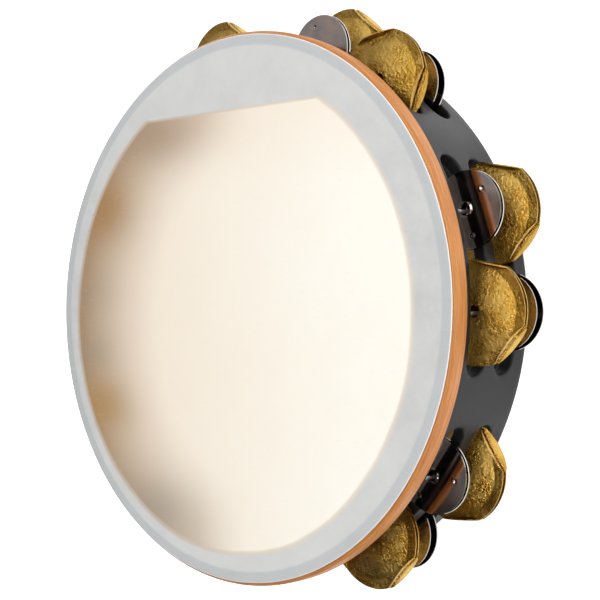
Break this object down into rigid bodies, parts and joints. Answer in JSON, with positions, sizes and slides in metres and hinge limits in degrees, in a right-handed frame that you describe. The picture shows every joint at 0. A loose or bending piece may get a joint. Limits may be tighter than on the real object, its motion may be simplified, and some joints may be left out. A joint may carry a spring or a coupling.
{
  "type": "tambourine",
  "caption": "Round hand drum with one skin head, a slotted black wooden shell and two rows of loose paired metal jingles sliding on pins.",
  "frame": {"origin": "centre of the playing face of the head, on the drum's axis", "axes": "+Z along the drum's axis, out of the head; +Y towards the straight edge of the skin lap; the open rear rim is at the lowest Z"},
  "size_m": [0.2861, 0.2673, 0.0576],
  "materials": {
    "black_lacquer": "satin black lacquer over bent beech ply",
    "beech": "bare oiled beech, fine grain along the band",
    "head_skin": "translucent cream calf skin",
    "lap_skin": "pale grey glued skin",
    "pin_steel": "drawn steel wire",
    "dark_plate": "mirror-polished black nickel",
    "gold_plate": "hammered polished brass"
  },
  "bodies": {
    "drum": {"shell": "black_lacquer", "wood_band": "beech", "skin_head": "head_skin", "skin_lap": "lap_skin", "pin_01": "pin_steel", "pin_02": "pin_steel", "pin_03": "pin_steel", "pin_04": "pin_steel", "pin_05": "pin_steel", "pin_06": "pin_steel", "pin_07": "pin_steel", "pin_08": "pin_steel", "pin_09": "pin_steel", "pin_10": "pin_steel"},
    "jingle_01_front_upper": {"jingle_01_front_upper": "dark_plate"},
    "jingle_01_front_lower": {"jingle_01_front_lower": "dark_plate"},
    "jingle_01_rear_upper": {"jingle_01_rear_upper": "gold_plate"},
    "jingle_01_rear_lower": {"jingle_01_rear_lower": "gold_plate"},
    "jingle_02_front_upper": {"jingle_02_front_upper": "gold_plate"},
    "jingle_02_front_lower": {"jingle_02_front_lower": "gold_plate"},
    "jingle_02_rear_upper": {"jingle_02_rear_upper": "dark_plate"},
    "jingle_02_rear_lower": {"jingle_02_rear_lower": "dark_plate"},
    "jingle_03_front_upper": {"jingle_03_front_upper": "dark_plate"},
    "jingle_03_front_lower": {"jingle_03_front_lower": "dark_plate"},
    "jingle_03_rear_upper": {"jingle_03_rear_upper": "gold_plate"},
    "jingle_03_rear_lower": {"jingle_03_rear_lower": "gold_plate"},
    "jingle_04_front_upper": {"jingle_04_front_upper": "gold_plate"},
    "jingle_04_front_lower": {"jingle_04_front_lower": "gold_plate"},
    "jingle_04_rear_upper": {"jingle_04_rear_upper": "dark_plate"},
    "jingle_04_rear_lower": {"jingle_04_rear_lower": "dark_plate"},
    "jingle_05_front_upper": {"jingle_05_front_upper": "dark_plate"},
    "jingle_05_front_lower": {"jingle_05_front_lower": "dark_plate"},
    "jingle_05_rear_upper": {"jingle_05_rear_upper": "gold_plate"},
    "jingle_05_rear_lower": {"jingle_05_rear_lower": "gold_plate"},
    "jingle_06_front_upper": {"jingle_06_front_upper": "gold_plate"},
    "jingle_06_front_lower": {"jingle_06_front_lower": "gold_plate"},
    "jingle_06_rear_upper": {"jingle_06_rear_upper": "dark_plate"},
    "jingle_06_rear_lower": {"jingle_06_rear_lower": "dark_plate"},
    "jingle_07_front_upper": {"jingle_07_front_upper": "dark_plate"},
    "jingle_07_front_lower": {"jingle_07_front_lower": "dark_plate"},
    "jingle_07_rear_upper": {"jingle_07_rear_upper": "gold_plate"},
    "jingle_07_rear_lower": {"jingle_07_rear_lower": "gold_plate"},
    "jingle_08_front_upper": {"jingle_08_front_upper": "gold_plate"},
    "jingle_08_front_lower": {"jingle_08_front_lower": "gold_plate"},
    "jingle_08_rear_upper": {"jingle_08_rear_upper": "dark_plate"},
    "jingle_08_rear_lower": {"jingle_08_rear_lower": "dark_plate"},
    "jingle_09_front_upper": {"jingle_09_front_upper": "dark_plate"},
    "jingle_09_front_lower": {"jingle_09_front_lower": "dark_plate"},
    "jingle_09_rear_upper": {"jingle_09_rear_upper": "gold_plate"},
    "jingle_09_rear_lower": {"jingle_09_rear_lower": "gold_plate"},
    "jingle_10_front_upper": {"jingle_10_front_upper": "gold_plate"},
    "jingle_10_front_lower": {"jingle_10_front_lower": "gold_plate"},
    "jingle_10_rear_upper": {"jingle_10_rear_upper": "dark_plate"},
    "jingle_10_rear_lower": {"jingle_10_rear_lower": "dark_plate"}
  },
  "joints": [
    {"name": "slide_01_front_upper", "type": "slide", "parent": "drum", "child": "jingle_01_front_upper", "axis": [0, 0, 1], "range_m": [-0.00045, 0.0056]},
    {"name": "slide_01_front_lower", "type": "slide", "parent": "drum", "child": "jingle_01_front_lower", "axis": [0, 0, 1], "range_m": [-0.0004, 0.00045]},
    {"name": "slide_01_rear_upper", "type": "slide", "parent": "drum", "child": "jingle_01_rear_upper", "axis": [0, 0, 1], "range_m": [-0.00065, 0.0021]},
    {"name": "slide_01_rear_lower", "type": "slide", "parent": "drum", "child": "jingle_01_rear_lower", "axis": [0, 0, 1], "range_m": [-0.0005, 0.00065]},
    {"name": "slide_02_front_upper", "type": "slide", "parent": "drum", "child": "jingle_02_front_upper", "axis": [0, 0, 1], "range_m": [-0.00045, 0.0025]},
    {"name": "slide_02_front_lower", "type": "slide", "parent": "drum", "child": "jingle_02_front_lower", "axis": [0, 0, 1], "range_m": [-0.0005, 0.00045]},
    {"name": "slide_02_rear_upper", "type": "slide", "parent": "drum", "child": "jingle_02_rear_upper", "axis": [0, 0, 1], "range_m": [-0.00205, 0.0022]},
    {"name": "slide_02_rear_lower", "type": "slide", "parent": "drum", "child": "jingle_02_rear_lower", "axis": [0, 0, 1], "range_m": [-0.0006, 0.00205]},
    {"name": "slide_03_front_upper", "type": "slide", "parent": "drum", "child": "jingle_03_front_upper", "axis": [0, 0, 1], "range_m": [-0.00045, 0.0056]},
    {"name": "slide_03_front_lower", "type": "slide", "parent": "drum", "child": "jingle_03_front_lower", "axis": [0, 0, 1], "range_m": [-0.0004, 0.00045]},
    {"name": "slide_03_rear_upper", "type": "slide", "parent": "drum", "child": "jingle_03_rear_upper", "axis": [0, 0, 1], "range_m": [-0.00065, 0.0021]},
    {"name": "slide_03_rear_lower", "type": "slide", "parent": "drum", "child": "jingle_03_rear_lower", "axis": [0, 0, 1], "range_m": [-0.0005, 0.00065]},
    {"name": "slide_04_front_upper", "type": "slide", "parent": "drum", "child": "jingle_04_front_upper", "axis": [0, 0, 1], "range_m": [-0.00045, 0.0025]},
    {"name": "slide_04_front_lower", "type": "slide", "parent": "drum", "child": "jingle_04_front_lower", "axis": [0, 0, 1], "range_m": [-0.0005, 0.00045]},
    {"name": "slide_04_rear_upper", "type": "slide", "parent": "drum", "child": "jingle_04_rear_upper", "axis": [0, 0, 1], "range_m": [-0.00205, 0.0022]},
    {"name": "slide_04_rear_lower", "type": "slide", "parent": "drum", "child": "jingle_04_rear_lower", "axis": [0, 0, 1], "range_m": [-0.0006, 0.00205]},
    {"name": "slide_05_front_upper", "type": "slide", "parent": "drum", "child": "jingle_05_front_upper", "axis": [0, 0, 1], "range_m": [-0.00045, 0.0056]},
    {"name": "slide_05_front_lower", "type": "slide", "parent": "drum", "child": "jingle_05_front_lower", "axis": [0, 0, 1], "range_m": [-0.0004, 0.00045]},
    {"name": "slide_05_rear_upper", "type": "slide", "parent": "drum", "child": "jingle_05_rear_upper", "axis": [0, 0, 1], "range_m": [-0.00065, 0.0021]},
    {"name": "slide_05_rear_lower", "type": "slide", "parent": "drum", "child": "jingle_05_rear_lower", "axis": [0, 0, 1], "range_m": [-0.0005, 0.00065]},
    {"name": "slide_06_front_upper", "type": "slide", "parent": "drum", "child": "jingle_06_front_upper", "axis": [0, 0, 1], "range_m": [-0.00045, 0.0025]},
    {"name": "slide_06_front_lower", "type": "slide", "parent": "drum", "child": "jingle_06_front_lower", "axis": [0, 0, 1], "range_m": [-0.0005, 0.00045]},
    {"name": "slide_06_rear_upper", "type": "slide", "parent": "drum", "child": "jingle_06_rear_upper", "axis": [0, 0, 1], "range_m": [-0.00205, 0.0022]},
    {"name": "slide_06_rear_lower", "type": "slide", "parent": "drum", "child": "jingle_06_rear_lower", "axis": [0, 0, 1], "range_m": [-0.0006, 0.00205]},
    {"name": "slide_07_front_upper", "type": "slide", "parent": "drum", "child": "jingle_07_front_upper", "axis": [0, 0, 1], "range_m": [-0.00045, 0.0056]},
    {"name": "slide_07_front_lower", "type": "slide", "parent": "drum", "child": "jingle_07_front_lower", "axis": [0, 0, 1], "range_m": [-0.0004, 0.00045]},
    {"name": "slide_07_rear_upper", "type": "slide", "parent": "drum", "child": "jingle_07_rear_upper", "axis": [0, 0, 1], "range_m": [-0.00065, 0.0021]},
    {"name": "slide_07_rear_lower", "type": "slide", "parent": "drum", "child": "jingle_07_rear_lower", "axis": [0, 0, 1], "range_m": [-0.0005, 0.00065]},
    {"name": "slide_08_front_upper", "type": "slide", "parent": "drum", "child": "jingle_08_front_upper", "axis": [0, 0, 1], "range_m": [-0.00045, 0.0025]},
    {"name": "slide_08_front_lower", "type": "slide", "parent": "drum", "child": "jingle_08_front_lower", "axis": [0, 0, 1], "range_m": [-0.0005, 0.00045]},
    {"name": "slide_08_rear_upper", "type": "slide", "parent": "drum", "child": "jingle_08_rear_upper", "axis": [0, 0, 1], "range_m": [-0.00205, 0.0022]},
    {"name": "slide_08_rear_lower", "type": "slide", "parent": "drum", "child": "jingle_08_rear_lower", "axis": [0, 0, 1], "range_m": [-0.0006, 0.00205]},
    {"name": "slide_09_front_upper", "type": "slide", "parent": "drum", "child": "jingle_09_front_upper", "axis": [0, 0, 1], "range_m": [-0.00045, 0.0056]},
    {"name": "slide_09_front_lower", "type": "slide", "parent": "drum", "child": "jingle_09_front_lower", "axis": [0, 0, 1], "range_m": [-0.0004, 0.00045]},
    {"name": "slide_09_rear_upper", "type": "slide", "parent": "drum", "child": "jingle_09_rear_upper", "axis": [0, 0, 1], "range_m": [-0.00065, 0.0021]},
    {"name": "slide_09_rear_lower", "type": "slide", "parent": "drum", "child": "jingle_09_rear_lower", "axis": [0, 0, 1], "range_m": [-0.0005, 0.00065]},
    {"name": "slide_10_front_upper", "type": "slide", "parent": "drum", "child": "jingle_10_front_upper", "axis": [0, 0, 1], "range_m": [-0.00045, 0.0025]},
    {"name": "slide_10_front_lower", "type": "slide", "parent": "drum", "child": "jingle_10_front_lower", "axis": [0, 0, 1], "range_m": [-0.0005, 0.00045]},
    {"name": "slide_10_rear_upper", "type": "slide", "parent": "drum", "child": "jingle_10_rear_upper", "axis": [0, 0, 1], "range_m": [-0.00205, 0.0022]},
    {"name": "slide_10_rear_lower", "type": "slide", "parent": "drum", "child": "jingle_10_rear_lower", "axis": [0, 0, 1], "range_m": [-0.0006, 0.00205]}
  ]
}
